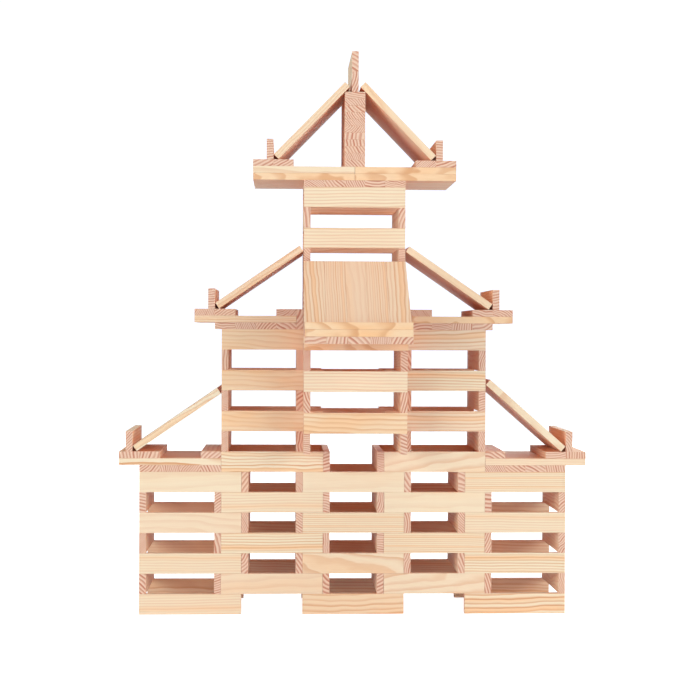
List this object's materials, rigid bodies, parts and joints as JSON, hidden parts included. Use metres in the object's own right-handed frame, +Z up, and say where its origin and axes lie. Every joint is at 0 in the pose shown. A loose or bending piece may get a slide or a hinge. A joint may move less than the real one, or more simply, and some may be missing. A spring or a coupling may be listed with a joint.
{
  "type": "stacked plank tower",
  "caption": "Tiered tower with windows, eaves, a projecting bay and lean-to roofs, stacked dry from identical pine planks; end ties pull out, roofs tip, stops and ridge lift.",
  "frame": {"origin": "on the ground, in the middle of the footprint of the whole tower", "axes": "+Z up, -Y towards the front where the bay stands out, +X to the right seen from the front"},
  "size_m": [0.552, 0.244, 0.664],
  "materials": {
    "pine_wall": "bare planed pine, satin",
    "pine_tie": "bare planed pine, satin",
    "pine_deck": "bare planed pine, satin",
    "pine_stop": "bare planed pine, satin",
    "pine_roof": "bare planed pine, satin"
  },
  "bodies": {
    "tower": {"bay_eave": "pine_deck", "bay_frame_1": "pine_wall", "bay_frame_2": "pine_wall", "course2_frame_left": "pine_wall", "course2_frame_right": "pine_wall", "course3_bracket_left": "pine_wall", "course3_bracket_right": "pine_wall", "course3_frame_centre": "pine_wall", "course4_frame_left": "pine_wall", "course4_frame_right": "pine_wall", "course5_bracket_left": "pine_wall", "course5_bracket_right": "pine_wall", "course5_frame_centre": "pine_wall", "course6_frame_left": "pine_wall", "course6_frame_right": "pine_wall", "course7_bracket_left": "pine_wall", "course7_bracket_right": "pine_wall", "course7_frame_centre": "pine_wall", "lower_eave_left": "pine_deck", "lower_eave_right": "pine_deck", "middle_eave_left": "pine_deck", "middle_eave_right": "pine_deck", "post": "pine_tie", "side_stack_1_left": "pine_wall", "side_stack_1_right": "pine_wall", "side_stack_2_left": "pine_wall", "side_stack_2_right": "pine_wall", "side_stack_3_left": "pine_wall", "side_stack_3_right": "pine_wall", "sill_back_centre": "pine_wall", "sill_back_left": "pine_wall", "sill_back_right": "pine_wall", "sill_front_centre": "pine_wall", "sill_front_left": "pine_wall", "sill_front_right": "pine_wall", "top_eave": "pine_deck", "tower_lower": "pine_wall", "tower_upper": "pine_wall"},
    "lower_roof_left": {"lower_roof_left": "pine_roof"},
    "lower_roof_right": {"lower_roof_right": "pine_roof"},
    "middle_roof_left": {"middle_roof_left": "pine_roof"},
    "middle_roof_right": {"middle_roof_right": "pine_roof"},
    "bay_roof": {"bay_roof": "pine_roof"},
    "top_roof_left": {"top_roof_left": "pine_roof"},
    "top_roof_right": {"top_roof_right": "pine_roof"},
    "lower_stop_left": {"lower_stop_left": "pine_stop"},
    "lower_stop_right": {"lower_stop_right": "pine_stop"},
    "middle_stop_left": {"middle_stop_left": "pine_stop"},
    "middle_stop_right": {"middle_stop_right": "pine_stop"},
    "bay_stop": {"bay_stop": "pine_stop"},
    "top_stop_left": {"top_stop_left": "pine_stop"},
    "top_stop_right": {"top_stop_right": "pine_stop"},
    "ridge_1": {"ridge_1": "pine_stop"},
    "ridge_2": {"ridge_2": "pine_stop"},
    "course2_end_tie_left": {"course2_end_tie_left": "pine_tie"},
    "course2_end_tie_right": {"course2_end_tie_right": "pine_tie"},
    "course4_end_tie_left": {"course4_end_tie_left": "pine_tie"},
    "course4_end_tie_right": {"course4_end_tie_right": "pine_tie"},
    "course6_end_tie_left": {"course6_end_tie_left": "pine_tie"},
    "course6_end_tie_right": {"course6_end_tie_right": "pine_tie"}
  },
  "joints": [
    {"name": "lower_roof_left_tip", "type": "hinge", "parent": "tower", "child": "lower_roof_left", "pos_m": [-0.2597, 0.062, 0.19889], "axis": [0, -1, 0], "range_deg": [0, 55.4]},
    {"name": "lower_roof_right_tip", "type": "hinge", "parent": "tower", "child": "lower_roof_right", "pos_m": [0.2517, 0.062, 0.19831], "axis": [0, 1, 0], "range_deg": [0, 48.6]},
    {"name": "middle_roof_left_tip", "type": "hinge", "parent": "tower", "child": "middle_roof_left", "pos_m": [-0.1637, 0.062, 0.36689], "axis": [0, -1, 0], "range_deg": [0, 55.4]},
    {"name": "middle_roof_right_tip", "type": "hinge", "parent": "tower", "child": "middle_roof_right", "pos_m": [0.1637, 0.062, 0.36689], "axis": [0, 1, 0], "range_deg": [0, 55.4]},
    {"name": "bay_roof_tip", "type": "hinge", "parent": "tower", "child": "bay_roof", "pos_m": [0, -0.0977, 0.3426], "axis": [1, 0, 0], "range_deg": [0, 51.9]},
    {"name": "top_roof_left_tip", "type": "hinge", "parent": "tower", "child": "top_roof_left", "pos_m": [-0.0957, 0.062, 0.54188], "axis": [0, -1, 0], "range_deg": [0, 44.2]},
    {"name": "top_roof_right_tip", "type": "hinge", "parent": "tower", "child": "top_roof_right", "pos_m": [0.0957, 0.062, 0.54188], "axis": [0, 1, 0], "range_deg": [0, 44.2]},
    {"name": "lower_stop_left_lift", "type": "slide", "parent": "tower", "child": "lower_stop_left", "axis": [0, 0, 1], "range_m": [0, 0.05]},
    {"name": "lower_stop_right_lift", "type": "slide", "parent": "tower", "child": "lower_stop_right", "axis": [0, 0, 1], "range_m": [0, 0.05]},
    {"name": "middle_stop_left_lift", "type": "slide", "parent": "tower", "child": "middle_stop_left", "axis": [0, 0, 1], "range_m": [0, 0.05]},
    {"name": "middle_stop_right_lift", "type": "slide", "parent": "tower", "child": "middle_stop_right", "axis": [0, 0, 1], "range_m": [0, 0.05]},
    {"name": "bay_stop_lift", "type": "slide", "parent": "tower", "child": "bay_stop", "axis": [0, 0, 1], "range_m": [0, 0.05]},
    {"name": "top_stop_left_lift", "type": "slide", "parent": "tower", "child": "top_stop_left", "axis": [0, 0, 1], "range_m": [0, 0.05]},
    {"name": "top_stop_right_lift", "type": "slide", "parent": "tower", "child": "top_stop_right", "axis": [0, 0, 1], "range_m": [0, 0.05]},
    {"name": "ridge_1_lift", "type": "slide", "parent": "tower", "child": "ridge_1", "axis": [0, 0, 1], "range_m": [0, 0.04]},
    {"name": "ridge_2_lift", "type": "slide", "parent": "ridge_1", "child": "ridge_2", "axis": [0, 0, 1], "range_m": [0, 0.03]},
    {"name": "course2_end_tie_left_pull", "type": "slide", "parent": "tower", "child": "course2_end_tie_left", "axis": [0, -1, 0], "range_m": [0, 0.1]},
    {"name": "course2_end_tie_right_pull", "type": "slide", "parent": "tower", "child": "course2_end_tie_right", "axis": [0, -1, 0], "range_m": [0, 0.1]},
    {"name": "course4_end_tie_left_pull", "type": "slide", "parent": "tower", "child": "course4_end_tie_left", "axis": [0, -1, 0], "range_m": [0, 0.1]},
    {"name": "course4_end_tie_right_pull", "type": "slide", "parent": "tower", "child": "course4_end_tie_right", "axis": [0, -1, 0], "range_m": [0, 0.1]},
    {"name": "course6_end_tie_left_pull", "type": "slide", "parent": "tower", "child": "course6_end_tie_left", "axis": [0, -1, 0], "range_m": [0, 0.1]},
    {"name": "course6_end_tie_right_pull", "type": "slide", "parent": "tower", "child": "course6_end_tie_right", "axis": [0, -1, 0], "range_m": [0, 0.1]}
  ]
}
